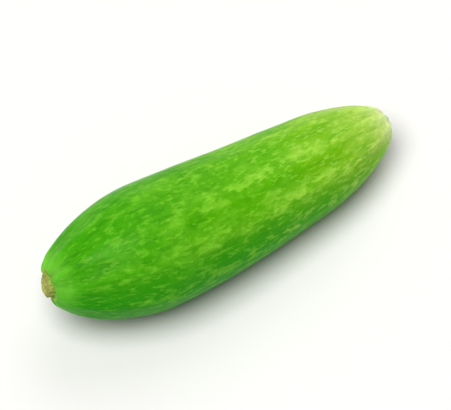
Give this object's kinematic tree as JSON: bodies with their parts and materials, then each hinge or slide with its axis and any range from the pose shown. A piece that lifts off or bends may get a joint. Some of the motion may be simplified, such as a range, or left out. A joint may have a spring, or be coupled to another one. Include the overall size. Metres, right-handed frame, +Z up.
{
  "type": "ivy gourd",
  "caption": "Whole fresh ivy gourd lying on its side, a small slightly bent green fruit with a stub of stalk and a dried scrap of flower.",
  "frame": {"origin": "middle of the gourd's bounding box, on the surface that it lies on", "axes": "+Z up; +X along the fruit from the stalk end to the blossom end; +Y towards the hollow side of its slight bend"},
  "size_m": [0.0624, 0.0196, 0.0189],
  "materials": {
    "skin": "waxy satin green skin, darker at the stalk end and pale yellow-green at the blossom end, with broken pale streaks and flecks",
    "stalk": "drying fibrous olive-green stalk with a paler broken end",
    "dried_flower": "dry papery brown"
  },
  "bodies": {
    "root": {"fruit": "skin", "stalk_stub": "stalk", "flower_scrap": "dried_flower"}
  },
  "joints": []
}
